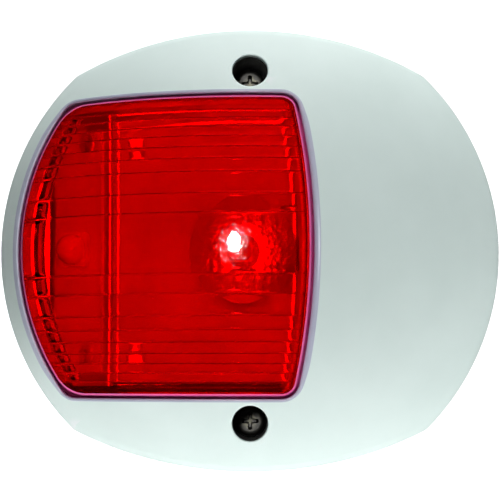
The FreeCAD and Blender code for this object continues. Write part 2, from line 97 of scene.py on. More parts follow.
# lens
LENS_GAP = 0.45
LENS_CORNER = 6.5
LENS_R = 51.7
LENS_IN_R = 49.7
LENS_ROLL = 0.6
LENS_WALL = 1.4
FLANGE_GROW = 1.5
FLANGE_R = 50.2
FLANGE_IN_R = 49.0
RIBS = [4.8, 7.9, 11.4, 13.6, 15.5, 17.3, 18.9, 20.4, 21.8]
RIB_CROWN = 0.02
RIB_CROWN_MOST = 0.05
RIB_NOTCH = 0.13
RIB_NOTCH_HALF = 0.2
NOTCH_STEPS = (-0.75, -0.5, -0.25, 0.0, 0.25, 0.5, 0.75)
TUBE_R = 4.0
FRINGE_W = 1.8
FRINGE_GAP = 0.3
FRINGE_SLOPE = 0.85
FRINGE_END = 4.6
FRINGE_TOP = 22.0

# forward wedge
WEDGE_IN = 2.4
RIDGE_R = 0.6
WEDGE_FOOT_H = 0.05

# mounting screws and their washers. SEAT_GAP keeps a washer's top out of its screw head's plane.
SCREW_Y = 29.0
SEAT_GAP = 0.02
HEAD_R = 2.65
HEAD_H = 2.2
HEAD_ROUND = 0.9
CROSS_LONG = 1.5
CROSS_HALF = 0.38
CROSS_FILLET = 0.12
CROSS_DEPTH = 1.2
CROSS_FLOOR = (1.05, 0.2, 0.06)
PITCH = 1.1
CREST_R = 1.45
ROOT_R = 1.05
POINT_H = 3.0
RUN_OUT = 1.0
TURN_STEPS = 48
THREAD_STEP = 0.07
WASHER_R = 2.5
WASHER_HOLE_R = 1.15
WASHER_ROUND = 0.22

# back gasket and grommet
GASKET_ROUND = 0.45
GASKET_SCREW_R = 1.7
GASKET_LEAD_R = 3.8
GROMMET_NECK_R = 2.9
GROMMET_LIP = 1.0
GROMMET_ROUND = 0.35
LEAD_SPACING = 3.4
LEAD_R = 1.0
LEAD_FLARE = 0.15

# reflector
DISH_MOUTH_R = 2.9
DISH_WALL = 0.5
DISH_SIDES = 180
DISH_STEPS = 44
DIMPLE_DEPTH = 0.11
DIMPLE_R = 0.55
DIMPLES_PER_MM = 1.1

# painted parts of the chamber's walls, in metres in the row frame: (from, to, lowest, highest share)
PAINT_AFT = (0.005, 0.006, 0, 1)
PAINT_TOP = (0.0175, 0.018, 0, 1)
PAINT_X = ((0.0122, 0.0124, 1, 0), (-0.032, -0.031, 0, 1))
PAINT_Z = ((0.0247, 0.0248, 1, 0), (-0.0248, -0.0247, 0, 1))

# studio, in metres
FLOOR_DROP = 0.05
STAGE_HALF = 3.0
BACKDROP_Y = 1.2
BACKDROP_TOP = 2.4
STAGE_COLOR = (0.86, 0.87, 0.87)
FLAGS = (("left_flag", -0.060, 0.032), ("right_flag", 0.075, 0.010))
FLAG_Y = (-0.2, -0.002)
CAMERA_AT = Vector((0, -0.290, -0.020))
CAMERA_AIM = Vector((0, -0.010, 0))
CAMERA_LENS = 119.0


def box_mm(node):
    """A CAD node's box lying down: (x0, y0, h0), (x1, y1, h1), in millimetres."""
    a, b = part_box(node)
    return (a.x * 1e3, a.z * 1e3, -b.y * 1e3), (b.x * 1e3, b.z * 1e3, -a.y * 1e3)


# ---------------------------------------------------------------- outlines


def arc(cx, cy, r, start, end, count):
    """Points along an arc, without its last one."""
    angles = [start + (end - start) * i / count for i in range(count)]
    return [(cx + r * cos(a), cy + r * sin(a)) for a in angles]


def segment(a, b, count):
    return [(a[0] + (b[0] - a[0]) * i / count, a[1] + (b[1] - a[1]) * i / count) for i in range(count)]


def circle(x, y, r, count=48):
    return arc(x, y, r, 0, 2 * pi, count)


def outline(inset):
    side, edge, corner = SIDE_R - inset, EDGE_R - inset, max(CORNER_R - inset, 0.5)
    y = ((edge - corner) ** 2 - (side - corner) ** 2 - EDGE_DROP ** 2) / (2 * EDGE_DROP)
    x = sqrt((side - corner) ** 2 - y ** 2)
    a, b = atan2(y, x), atan2(y + EDGE_DROP, x)
    half = arc(0, 0, side, -a, a, 96) + arc(x, y, corner, a, b, 10)
    half += arc(0, -EDGE_DROP, edge, b, pi - b, 96) + arc(-x, y, corner, pi - b, pi - a, 10)
    return half + [(-u, -v) for u, v in half]


def window(grow, fore_corner=WINDOW_CORNER):
    """The window's outline, grown outward by grow."""
    h, fore, aft = HALF_H + grow, FORE_R + grow, AFT_R + grow
    rf, ra = max(fore_corner + grow, LEAST_CORNER), max(WINDOW_CORNER + grow, LEAST_CORNER)
    xf = FORE_X - sqrt((fore - rf) ** 2 - (h - rf) ** 2)
    xa = AFT_X + sqrt((aft - ra) ** 2 - (h - ra) ** 2)
    a, b = atan2(h - ra, xa - AFT_X), atan2(h - rf, xf - FORE_X)
    loop = arc(AFT_X, 0, aft, -a, a, 72) + arc(xa, h - ra, ra, a, pi / 2, 8)
    loop += segment((xa, h), (xf, h), 60) + arc(xf, h - rf, rf, pi / 2, b, 14)
    loop += arc(FORE_X, 0, fore, b, 2 * pi - b, 88) + arc(xf, rf - h, rf, 2 * pi - b, 1.5 * pi, 14)
    return loop + segment((xf, -h), (xa, -h), 60) + arc(xa, ra - h, ra, -pi / 2, -a, 8)


def window_span(grow, fore_corner, y):
    """The window outline's least and greatest x at a height up it."""
    h, fore, aft, y = HALF_H + grow, FORE_R + grow, AFT_R + grow, abs(y)
    rf, ra = max(fore_corner + grow, LEAST_CORNER), max(WINDOW_CORNER + grow, LEAST_CORNER)
    xf = FORE_X - sqrt((fore - rf) ** 2 - (h - rf) ** 2)
    xa = AFT_X + sqrt((aft - ra) ** 2 - (h - ra) ** 2)
    if y > fore * (h - rf) / (fore - rf):
        x0 = xf - sqrt(max(rf ** 2 - (y - h + rf) ** 2, 0))
    else:
        x0 = FORE_X - sqrt(fore ** 2 - y ** 2)
    if y > aft * (h - ra) / (aft - ra):
        x1 = xa + sqrt(max(ra ** 2 - (y - h + ra) ** 2, 0))
    else:
        x1 = AFT_X + sqrt(aft ** 2 - y ** 2)
    return x0, x1


def clear_of_tubes(loop):
    """A loop drawn in where it would meet the tubes round the screws."""
    out = []
    for x, y in loop:
        side = 1 if y > 0 else -1
        if hypot(x, abs(y) - SCREW_Y) < TUBE_R:
            y = side * (SCREW_Y - sqrt(TUBE_R ** 2 - x ** 2))
        out.append((x, y))
    return out


def sphere(r, lift=0.0):
    """The height of a ball of radius r about the centre that the domed faces share."""
    return lambda x, y: DOME_H + sqrt(r * r - x * x - y * y) + lift


def ball_normal(x, y, h, ball):
    """The normal of a ball of that radius about the shared centre, or no normal where ball is None."""
    return (x / ball, y / ball, (h - DOME_H) / ball) if ball else (0, 0, 0)


def level(h):
    """The height of a flat face."""
    return lambda x, y: h


# ---------------------------------------------------------------- mesh building


def inside(points, loop):
    """Which points are inside a closed loop."""
    px, py = points[:, 0], points[:, 1]
    odd = np.zeros(len(points), bool)
    for (ax, ay), (bx, by) in zip(loop, loop[1:] + loop[:1]):
        if ay != by:
            odd ^= ((ay > py) != (by > py)) & (px < (bx - ax) * (py - ay) / (by - ay) + ax)
    return odd


class Build:
    """A mesh put together from rings of points, bands between them, and filled faces."""

    def __init__(self):
        self.points = []
        self.normals = []
        self.faces = []
        self.slots = []
        self.slot = 0

    def add(self, x, y, h, normal=(0, 0, 0)):
        self.points.append((x, y, h))
        self.normals.append(normal)
        return len(self.points) - 1

    def face(self, *corners):
        self.faces.append(corners)
        self.slots.append(self.slot)

    def ring(self, loop, height, ball=None):
        """A ring of points. Those on a ball take its exact normals."""
        ids = []
        for x, y in loop:
            h = height(x, y)
            ids.append(self.add(x, y, h, ball_normal(x, y, h, ball)))
        return ids

    def band(self, a, b):
        for i in range(len(a)):
            j = (i + 1) % len(a)
            self.face(a[i], a[j], b[j], b[i])

    def bands(self, rings):
        for a, b in zip(rings, rings[1:]):
            self.band(a, b)

    def roll(self, loop_at, height, r, ball=None, steps=7, share=None):
        """Rings that turn from an upright wall onto a face, with a round edge. The last is on the face.

        share(x, y) is how much of the radius r a place takes.
        """
        wall, top = loop_at(0), loop_at(r)
        part = [share(x, y) if share else 1.0 for x, y in wall]
        rings = []
        for k in range(steps + 1):
            turn = pi / 2 * k / steps
            ids = []
            for (x0, y0), (x1, y1), s in zip(wall, top, part):
                t = s * (1 - cos(turn))
                x, y = x0 + (x1 - x0) * t, y0 + (y1 - y0) * t
                h = height(x, y) - s * r * (1 - sin(turn))
                ids.append(self.add(x, y, h, ball_normal(x, y, h, ball if k == steps else None)))
            rings.append(ids)
        self.bands(rings)
        return rings

    def fill(self, rings, height, spacing, ball=None):
        """Fills between an outer ring and any number of inner ones, on a curved face."""
        loops = [[self.points[i][:2] for i in ids] for ids in rings]
        fixed = np.array([p for loop in loops for p in loop])
        low, high = fixed.min(0), fixed.max(0)
        rows = int((high[1] - low[1]) / (spacing * 0.866)) + 1
        grid = []
        for i in range(rows):
            y = low[1] + (i + 0.5) * spacing * 0.866
            x = low[0] + (0.25 + 0.5 * (i % 2)) * spacing
            while x < high[0]:
                grid.append((x, y))
                x += spacing
        grid = np.array(grid) if grid else np.zeros((0, 2))
        keep = inside(grid, loops[0])
        for loop in loops[1:]:
            keep &= ~inside(grid, loop)
        grid = grid[keep]
        far = np.array([((fixed - p) ** 2).sum(1).min() > (0.6 * spacing) ** 2 for p in grid], bool)
        grid = grid[far] if len(grid) else grid
        ids = [i for ring in rings for i in ring]
        ids += self.ring([tuple(p) for p in grid], height, ball)
        edges, start = [], 0
        for ring in rings:
            edges += [(start + i, start + (i + 1) % len(ring)) for i in range(len(ring))]
            start += len(ring)
        flat = [Vector(p) for p in fixed] + [Vector(p) for p in grid]
        spots, _, triangles, source, _, _ = geometry.delaunay_2d_cdt(flat, edges, [], 0, 1e-7)
        mids = np.array([sum((spots[k] for k in t), Vector((0, 0))) / 3 for t in triangles])
        keep = inside(mids, loops[0])
        for loop in loops[1:]:
            keep &= ~inside(mids, loop)
        for t, kept in zip(triangles, keep):
            if kept:
                self.face(*(ids[source[k][0]] for k in t))

    def piece(self, name, body, slot, materials, replaced=(), sharp=40):
        """The finished piece, standing up in the row frame and riding on its body."""
        mesh = bpy.data.meshes.new(name)
        mesh.from_pydata([(x / 1e3, -h / 1e3, y / 1e3) for x, y, h in self.points], [], self.faces)
        mesh.polygons.foreach_set("material_index", self.slots)
        bm = bmesh.new()
        bm.from_mesh(mesh)
        bmesh.ops.recalc_face_normals(bm, faces=bm.faces)
        bm.to_mesh(mesh)
        bm.free()
        for m in materials:
            mesh.materials.append(m)
        mesh.shade_smooth()
        mesh.set_sharp_from_angle(angle=radians(sharp))
        if any(any(n) for n in self.normals):
            mesh.normals_split_custom_set_from_vertices([(x, -h, y) for x, y, h in self.normals])
        piece = bpy.data.objects.new(name, mesh)
        bpy.context.scene.collection.objects.link(piece)
        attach(piece, body)
        if replaced:
            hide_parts(*replaced)
        return piece


# ---------------------------------------------------------------- materials


def node(tree, kind, **sockets):
    made = tree.nodes.new(kind)
    for name, value in sockets.items():
        made.inputs[name.replace("_", " ")].default_value = value
    return made


def noise_at(tree, coords, scale, detail=3.0, rough=0.55):
    made = node(tree, "ShaderNodeTexNoise", Scale=scale, Detail=detail, Roughness=rough)
    tree.links.new(coords, made.inputs["Vector"])
    return made.outputs["Fac"]


def spread(tree, value, low, high, start=0.3, end=0.7):
    """A noise value spread between two numbers."""
    made = tree.nodes.new("ShaderNodeMapRange")
    for name, number in (("From Min", start), ("From Max", end), ("To Min", low), ("To Max", high)):
        made.inputs[name].default_value = number
    tree.links.new(value, made.inputs["Value"])
    return made.outputs["Result"]


def blend_colors(tree, amount, a, b):
    made = tree.nodes.new("ShaderNodeMix")
    made.data_type = "RGBA"
    for socket, value in ((made.inputs[6], a), (made.inputs[7], b), (made.inputs[0], amount)):
        if isinstance(value, bpy.types.NodeSocket):
            tree.links.new(value, socket)
        elif isinstance(value, tuple):
            socket.default_value = (*value, 1)
        else:
            socket.default_value = value
    return made.outputs[2]


def finish(
    name, dark, light, rough, grain, bump, wear=None, mottle=120.0, metallic=0.0, coat=0.0, specular=0.5,
    subsurface=0.0, stretch=(1, 1, 1),
):
    """A procedural material: mottled colour, varied roughness, a fine grain, and worn edges.

    rough is (smoothest, roughest), grain the grains per metre, bump their height in metres.
    """
    made = bpy.data.materials.new(name)
    made.use_nodes = True
    tree = made.node_tree
    shader = tree.nodes["Principled BSDF"]
    place = tree.nodes.new("ShaderNodeTexCoord").outputs["Object"]
    scaled = tree.nodes.new("ShaderNodeMapping")
    scaled.inputs["Scale"].default_value = stretch
    tree.links.new(place, scaled.inputs["Vector"])
    place = scaled.outputs["Vector"]
    color = blend_colors(tree, spread(tree, noise_at(tree, place, mottle), 0, 1), dark, light)
    if wear:
        edges = tree.nodes.new("ShaderNodeNewGeometry").outputs["Pointiness"]
        rubbed = spread(tree, edges, 0, 0.6, 0.53, 0.62)
        color = blend_colors(tree, rubbed, color, wear)
    tree.links.new(color, shader.inputs["Base Color"])
    tree.links.new(
        spread(tree, noise_at(tree, place, mottle * 6), *rough), shader.inputs["Roughness"]
    )
    raised = tree.nodes.new("ShaderNodeBump")
    raised.inputs["Distance"].default_value = bump
    raised.inputs["Strength"].default_value = 1.0
    tree.links.new(noise_at(tree, place, grain, 2.0), raised.inputs["Height"])
    tree.links.new(raised.outputs["Normal"], shader.inputs["Normal"])
    shader.inputs["Metallic"].default_value = metallic
    shader.inputs["Coat Weight"].default_value = coat
    shader.inputs["Coat Roughness"].default_value = 0.1
    shader.inputs["Specular IOR Level"].default_value = specular
    shader.inputs["Subsurface Weight"].default_value = subsurface
    shader.inputs["Subsurface Radius"].default_value = (0.001, 0.001, 0.001)
    return made


def red_glass(name, color, rough, shadow, bump):
    """Clear red polycarbonate. Rays from lamps pass it tinted, so that they reach what is behind it."""
    made = bpy.data.materials.new(name)
    made.use_nodes = True
    tree = made.node_tree
    shader = tree.nodes["Principled BSDF"]
    place = tree.nodes.new("ShaderNodeTexCoord").outputs["Object"]
    shader.inputs["Transmission Weight"].default_value = 1.0
    shader.inputs["IOR"].default_value = 1.49
    shader.inputs["Specular IOR Level"].default_value = 0.12
    deeper = tuple(c * 0.88 for c in color)
    tree.links.new(
        blend_colors(tree, spread(tree, noise_at(tree, place, 90.0), 0, 1), deeper, color),
        shader.inputs["Base Color"],
    )
    tree.links.new(
        spread(tree, noise_at(tree, place, 700.0, 4.0), *rough, 0.45, 0.75), shader.inputs["Roughness"]
    )
    raised = tree.nodes.new("ShaderNodeBump")
    raised.inputs["Distance"].default_value = bump
    tree.links.new(noise_at(tree, place, 900.0, 2.0), raised.inputs["Height"])
    tree.links.new(raised.outputs["Normal"], shader.inputs["Normal"])
    fleck = tree.nodes.new("ShaderNodeBump")
    fleck.inputs["Distance"].default_value = 0.00005
    tree.links.new(noise_at(tree, place, 1500.0, 1.0), fleck.inputs["Height"])
    tree.links.new(fleck.outputs["Normal"], shader.inputs["Coat Normal"])
    shader.inputs["Coat Weight"].default_value = 0.10
    shader.inputs["Coat Roughness"].default_value = 0.03
    through = node(tree, "ShaderNodeBsdfTransparent", Color=(*shadow, 1))
    mix = tree.nodes.new("ShaderNodeMixShader")
    tree.links.new(tree.nodes.new("ShaderNodeLightPath").outputs["Is Shadow Ray"], mix.inputs[0])
    tree.links.new(shader.outputs[0], mix.inputs[1])
    tree.links.new(through.outputs[0], mix.inputs[2])
    tree.links.new(mix.outputs[0], tree.nodes["Material Output"].inputs["Surface"])
    return made


def combine(tree, operation, a, b):
    made = tree.nodes.new("ShaderNodeMath")
    made.operation = operation
    tree.links.new(a, made.inputs[0])
    tree.links.new(b, made.inputs[1])
    return made.outputs[0]


def paint_chamber(made):
    """White paint on the aft and top walls of the lens's chamber, over the plastic's own colour."""
    tree = made.node_tree
    shader = tree.nodes["Principled BSDF"]
    plain = shader.inputs["Base Color"].links[0].from_socket
    spot = tree.nodes.new("ShaderNodeSeparateXYZ")
    tree.links.new(tree.nodes.new("ShaderNodeTexCoord").outputs["Object"], spot.inputs["Vector"])

    def mask(axis, start, end, low, high):
        return spread(tree, spot.outputs[axis], low, high, start, end)

    painted = combine(tree, "MAXIMUM", mask("X", *PAINT_AFT), mask("Z", *PAINT_TOP))
    for axis, edges in (("X", PAINT_X), ("Z", PAINT_Z)):
        for edge in edges:
            painted = combine(tree, "MULTIPLY", painted, mask(axis, *edge))
    tree.links.new(blend_colors(tree, painted, plain, (0.85, 0.85, 0.83)), shader.inputs["Base Color"])


COVER = finish(
    "pearl_plastic", (0.77, 0.89, 0.85), (0.82, 0.94, 0.90), (0.28, 0.42), 5200.0, 0.00002,
    wear=(0.93, 0.96, 0.97), mottle=60.0, subsurface=0.05,
)
# The cover's plastic, painted darker and purple-blue for the window's rolled edge: painted shade and a
# painted reflection of the red lens.
COVER_EDGE_PAINTED_SHADE = finish(
    "pearl_plastic_edge_painted_shade", (0.50, 0.52, 0.66), (0.62, 0.64, 0.76), (0.28, 0.42), 5200.0, 0.00002, mottle=60.0,
)
LENS = red_glass("red_lens", (0.62, 0.001, 0.0015), (0.0, 0.06), (0.95, 0.06, 0.06), 0.000006)
# Frosted red plastic for the lens's rim, painted bright pink: a painted highlight for the light that the rim
# catches.
FLANGE_PAINTED_HIGHLIGHT = finish(
    "frosted_red_painted_highlight", (1.0, 0.12, 0.40), (1.0, 0.17, 0.48), (0.35, 0.5), 4000.0, 0.00001, mottle=200.0,
    subsurface=0.3,
)
BLACK = finish(
    "black_plastic", (0.012, 0.012, 0.013), (0.022, 0.022, 0.024), (0.38, 0.6), 4200.0, 0.00003,
    wear=(0.09, 0.09, 0.095), mottle=110.0,
)
FOAM = finish(
    "gasket_foam", (0.018, 0.018, 0.02), (0.05, 0.05, 0.052), (0.8, 0.98), 2600.0, 0.00022, mottle=500.0,
    specular=0.2,
)
SILICONE = finish(
    "silicone", (0.78, 0.78, 0.75), (0.87, 0.87, 0.85), (0.4, 0.6), 3000.0, 0.00001, mottle=240.0,
    subsurface=0.2,
)
ALUMINIUM = finish(
    "aluminium", (0.72, 0.73, 0.74), (0.82, 0.83, 0.84), (0.2, 0.35), 2500.0, 0.00001, mottle=300.0,
    metallic=1.0, stretch=(1, 1, 12),
)
RIDGE = finish(
    "ridge_aluminium", (0.72, 0.73, 0.74), (0.82, 0.83, 0.84), (0.3, 0.45), 2500.0, 0.00001, mottle=300.0,
    metallic=1.0, stretch=(1, 1, 4),
)
MASK = finish(
    "white_solder_mask", (0.70, 0.70, 0.68), (0.80, 0.80, 0.78), (0.5, 0.65), 3000.0, 0.000008,
    mottle=160.0, specular=0.1,
)
CERAMIC = finish(
    "emitter_ceramic", (0.86, 0.86, 0.83), (0.93, 0.93, 0.91), (0.15, 0.3), 6000.0, 0.000004, mottle=900.0
)
EMITTER = finish(
    "emitter_dome", (0.90, 0.72, 0.25), (0.96, 0.88, 0.45), (0.03, 0.08), 3000.0, 0.000002, mottle=900.0,
    coat=1.0,
)
CHROME = finish(
    "plated_reflector", (0.84, 0.84, 0.85), (0.90, 0.90, 0.91), (0.3, 0.45), 2600.0, 0.00006,
    mottle=700.0, metallic=1.0,
)
SMALL_STEEL = finish(
    "small_screws", (0.62, 0.62, 0.62), (0.85, 0.85, 0.85), (0.25, 0.5), 2600.0, 0.00004, mottle=900.0,
    metallic=0.7, wear=(0.9, 0.9, 0.9),
)
GREEN_BOARD = finish(
    "green_solder_mask", (0.008, 0.12, 0.045), (0.016, 0.2, 0.08), (0.18, 0.34), 2600.0, 0.000012,
    mottle=700.0,
)
EPOXY = finish(
    "component_black", (0.018, 0.018, 0.018), (0.035, 0.035, 0.035), (0.35, 0.6), 6000.0, 0.000015,
    mottle=900.0, wear=(0.09, 0.09, 0.09),
)
CAN = finish(
    "capacitor_can", (0.66, 0.67, 0.69), (0.78, 0.79, 0.81), (0.18, 0.34), 3000.0, 0.000006, mottle=800.0,
    metallic=1.0, stretch=(1, 8, 1),
)
TINNED = finish(
    "tinned_copper", (0.62, 0.61, 0.57), (0.80, 0.79, 0.75), (0.22, 0.45), 3500.0, 0.00001, mottle=900.0,
    metallic=1.0,
)
RUBBER = finish(
    "grommet_rubber", (0.014, 0.014, 0.014), (0.028, 0.028, 0.028), (0.55, 0.8), 3600.0, 0.00002,
    mottle=300.0, specular=0.3,
)
SCREW = finish(
    "screw_steel", (0.014, 0.013, 0.010), (0.035, 0.032, 0.024), (0.3, 0.5), 3500.0, 0.00001,
    mottle=900.0, metallic=0.4, wear=(0.22, 0.21, 0.14),
)
WASHER = finish(
    "washer_rubber", (0.016, 0.016, 0.016), (0.032, 0.032, 0.032), (0.5, 0.75), 4200.0, 0.00002,
    mottle=400.0, specular=0.3,
)

BASE = BLACK.copy()
BASE.name = "base_plastic"
paint_chamber(BASE)

CARRIED = {
    "mounting_base": BASE, "driver_lid": BLACK, "lens_seal": SILICONE, "heat_spreader": ALUMINIUM,
    "abeam_board": MASK, "forward_board": MASK, "abeam_led_base": CERAMIC,
    "abeam_led_dome": EMITTER, "forward_led_base": CERAMIC, "forward_led_dome": EMITTER,
    "board_screws": SMALL_STEEL, "lid_screws": SMALL_STEEL, "driver_board": GREEN_BOARD,
    "driver_chip": EPOXY, "power_inductor": EPOXY, "filter_capacitors": CAN, "surge_diode": EPOXY,
    "sense_resistors": EPOXY, "lead_terminals": TINNED, "driver_jumpers": TINNED,
    "forward_jumpers": TINNED,
}
for name, made in CARRIED.items():
    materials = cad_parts[name].data.materials
    for i in range(max(len(materials), 1)):
        if materials:
            materials[i] = made
        else:
            materials.append(made)


# ---------------------------------------------------------------- pieces


def window_share(x, y):
    """The window's edge is rounder fore and aft than beside the screws."""
    near = min(max((abs(y) / HALF_H - 0.75) / 0.25, 0.0), 1.0)
    return 1 - 0.48 * near * near * (3 - 2 * near)


def cover_shell():
    b = Build()
    dome, ceiling = sphere(DOME_R), sphere(DOME_R - COVER_T)
    foot = GASKET_T
    edge = b.roll(outline, dome, EDGE_ROLL, DOME_R)
    toe = b.ring(outline(0), level(foot + FOOT_CHAMFER))
    under = b.ring(outline(FOOT_CHAMFER), level(foot))
    heel = b.ring(outline(COVER_T), level(foot))
    room = b.ring(outline(COVER_T), ceiling)
    b.bands([edge[0], toe, under, heel, room])
    tops, ceilings = [edge[-1]], [room]
    openings = [(window, WINDOW_ROLL, window_share)]
    for side in (1, -1):
        openings.append((lambda t, y=side * SCREW_Y: circle(0, y, HOLE_R + t), HOLE_ROLL, None))
    for loop_at, roll, share in openings:
        # Slot 1, on the window's roll only, is the cover's plastic painted as shade and as the red lens's
        # reflection.
        b.slot = 1 if share else 0
        rings = b.roll(loop_at, dome, roll, DOME_R, share=share)
        lower = b.ring(loop_at(0), ceiling)
        b.band(rings[0], lower)
        b.slot = 0
        tops.append(rings[-1])
        ceilings.append(lower)
    for x, y in PEG_SPOTS:
        ceilings.append(peg(b, x, y, ceiling))
    b.fill(tops, dome, 1.3, DOME_R)
    b.fill(ceilings, ceiling, 1.8, None)
    return b.piece("cover_dome", "cover", "cover", [COVER, COVER_EDGE_PAINTED_SHADE], ["cover_shell"])


def peg(b, x, y, ceiling):
    """A round peg under the cover, with a fillet at its root and a chamfered tip."""
    rings = []
    for k in range(5):
        turn = pi / 2 * k / 4
        out, drop = PEG_FILLET * (1 - sin(turn)), PEG_FILLET * (1 - cos(turn))
        rings.append(b.ring(circle(x, y, PEG_R + out, 32), lambda u, v: ceiling(u, v) - drop))
    tip = ceiling(x, y) - PEG_DEPTH
    rings.append(b.ring(circle(x, y, PEG_R, 32), level(tip + PEG_CHAMFER)))
    rings.append(b.ring(circle(x, y, PEG_R - PEG_CHAMFER, 32), level(tip)))
    b.bands(rings)
    b.face(*rings[-1])
    return rings[0]


def rib_rows():
    """(height up the lens, how much the inside is raised there) for each row of its inner face."""
    top = HALF_H - LENS_WALL
    edges = [-RIBS[0], *RIBS]
    rows = []
    for a, b in zip(edges, edges[1:]):
        crown = min(RIB_CROWN * (b - a), RIB_CROWN_MOST)
        steps = 12 if a < 0 else 6
        for k in range(steps + 1):
            y = a + RIB_NOTCH_HALF + (b - a - 2 * RIB_NOTCH_HALF) * k / steps
            u = 2 * k / steps - 1
            rows.append((y, -crown * (1 - u * u)))
        rows += [(b + RIB_NOTCH_HALF * t, RIB_NOTCH * 0.5 * (1 + cos(pi * t))) for t in NOTCH_STEPS]
    last = RIBS[-1]
    rows.append((last + RIB_NOTCH_HALF, 0.0))
    for share in (0.3, 0.5, 0.66, 0.8, 0.9, 0.96, 1.0):
        rows.append((last + (top - last) * share, 0.0))
    split = RIBS[0] - RIB_NOTCH_HALF + 1e-6
    upper = [row for row in rows if row[0] > split]
    middle = [row for row in rows if abs(row[0]) <= split]
    lower = [(-y, lift) for y, lift in reversed(upper)]
    return lower + middle + upper


def fringe(y):
    """(distance from the fore edge, lift) across the two prism strips inside the lens's fore edge."""
    near = min(abs(abs(y) - r) for r in RIBS)
    band = sum(abs(y) > r for r in RIBS)
    deep = 0.0 if near < RIB_NOTCH_HALF or abs(y) > FRINGE_TOP else -FRINGE_SLOPE * (0.8, 1.0)[band % 2]
    places = [(0.0, FRINGE_W * deep)]
    for k in range(2):
        start = FRINGE_GAP + k * (FRINGE_W + FRINGE_GAP)
        places += [(start + FRINGE_W * i / 4, FRINGE_W * deep * (1 - i / 4)) for i in range(5)]
        places.append((start + FRINGE_W + 0.06, FRINGE_W * deep * (1 - k)))
    return places + [(FRINGE_END, 0.0)]


def lens_inside(b):
    """The lens's inner face: crowned bands between fine notches. Returns its border."""
    rows = []
    for y, lift in rib_rows():
        x0, x1 = window_span(-LENS_WALL, LENS_CORNER, y)
        places = [(x0 + t, more) for t, more in fringe(y)]
        rest = x1 - x0 - FRINGE_END
        places += [(x0 + FRINGE_END + rest * j / 60, 0.0) for j in range(1, 61)]
        rows.append([b.add(x, y, sphere(LENS_IN_R, lift + more)(x, y)) for x, more in places])
    columns = len(rows[0]) - 1
    for a, c in zip(rows, rows[1:]):
        for j in range(columns):
            b.face(a[j], a[j + 1], c[j + 1], c[j])
    border = rows[0][:-1] + [row[-1] for row in rows[:-1]]
    return border + rows[-1][:0:-1] + [row[0] for row in rows[:0:-1]]


def lens():
    b = Build()
    face, shelf, seat = sphere(LENS_R), sphere(FLANGE_R), sphere(FLANGE_IN_R)
    # Slot 1 covers the roll's first five bands, the wall and the flange. It is the rim's frosted red, painted
    # bright pink as a highlight.
    b.slot = 1
    edge = b.roll(lambda t: window(-LENS_GAP - t, LENS_CORNER), face, LENS_ROLL, LENS_R)
    for i in range(5 * len(edge[0]), len(b.slots)):
        b.slots[i] = 0
    wall = b.ring(window(-LENS_GAP, LENS_CORNER), shelf)
    b.band(edge[0], wall)
    rim = clear_of_tubes(window(FLANGE_GROW))
    upper, lower = b.ring(rim, shelf), b.ring(rim, seat)
    b.fill([upper, wall], shelf, 1.2)
    b.band(upper, lower)
    b.slot = 0
    b.fill([edge[-1]], face, 0.9, LENS_R)
    border = lens_inside(b)
    mouth = b.ring([b.points[i][:2] for i in border], seat)
    b.band(border, mouth)
    b.fill([lower, mouth], seat, 1.2)
    return b.piece("lens_dome", "base", "red_lens", [LENS, FLANGE_PAINTED_HIGHLIGHT], ["lens"], sharp=25)


def mounting_screw(name, y):
    """A pan head with a cross recess, a plain neck, and a thread behind the wall."""
    (_, _, tip), (_, _, top) = box_mm(name)
    b = Build()
    seat, floor = level(top - HEAD_H), level(top - CROSS_DEPTH)
    bottom = b.ring(cross_loop(0, y, *CROSS_FLOOR), floor)
    lip = b.ring(cross_loop(0, y, CROSS_LONG, CROSS_HALF, CROSS_FILLET), level(top))
    b.band(bottom, lip)
    b.fill([bottom], floor, 0.5)
    crown = [b.ring(circle(0, y, HEAD_R - HEAD_ROUND), level(top))]
    b.fill([crown[0], lip], level(top), 0.4)
    for k in range(1, 9):
        turn = pi / 2 * k / 8
        r, h = HEAD_R - HEAD_ROUND * (1 - sin(turn)), top - HEAD_ROUND * (1 - cos(turn))
        crown.append(b.ring(circle(0, y, r), level(h)))
    crown.append(b.ring(circle(0, y, HEAD_R), seat))
    crown.append(b.ring(circle(0, y, ROOT_R), seat))
    for i in range(int(-tip / THREAD_STEP)):
        h = -i * THREAD_STEP
        taper = min(1.0, (h - tip) / POINT_H)
        fade = min(1.0, i * THREAD_STEP / RUN_OUT)
        loop = []
        for k in range(TURN_STEPS):
            angle = 2 * pi * k / TURN_STEPS
            phase = (h / PITCH - angle / (2 * pi)) % 1.0
            ridge = max(0.0, 1 - abs(phase - 0.5) / 0.3)
            r = (ROOT_R + (CREST_R - ROOT_R) * min(1.0, ridge * 1.15) * fade) * (0.15 + 0.85 * taper)
            loop.append((r * cos(angle), y + r * sin(angle)))
        crown.append(b.ring(loop, level(h)))
    b.bands(crown)
    end = b.add(0, y, tip)
    for i in range(TURN_STEPS):
        b.face(crown[-1][i], crown[-1][(i + 1) % TURN_STEPS], end)
    return b.piece(f"{name}_threaded", name, "screw_steel", [SCREW], [name], sharp=32)


def cross_loop(x, y, long, half, fillet):
    """A cross with rounded arm ends and small fillets at its inner corners."""
    arm = [(half + fillet, half), (long - half * 0.6, half)]
    arm += [(long - half * 0.6 + half * 0.6 * cos(a), half * sin(a)) for a in (1.2, 0.8, 0.4, 0.0)]
    arm += [(u, -v) for u, v in reversed(arm[:-1])]
    arm = arm[::-1]
    loop = []
    for turn in range(4):
        c, s = cos(turn * pi / 2), sin(turn * pi / 2)
        loop += [(x + u * c - v * s, y + u * s + v * c) for u, v in arm]
    return loop


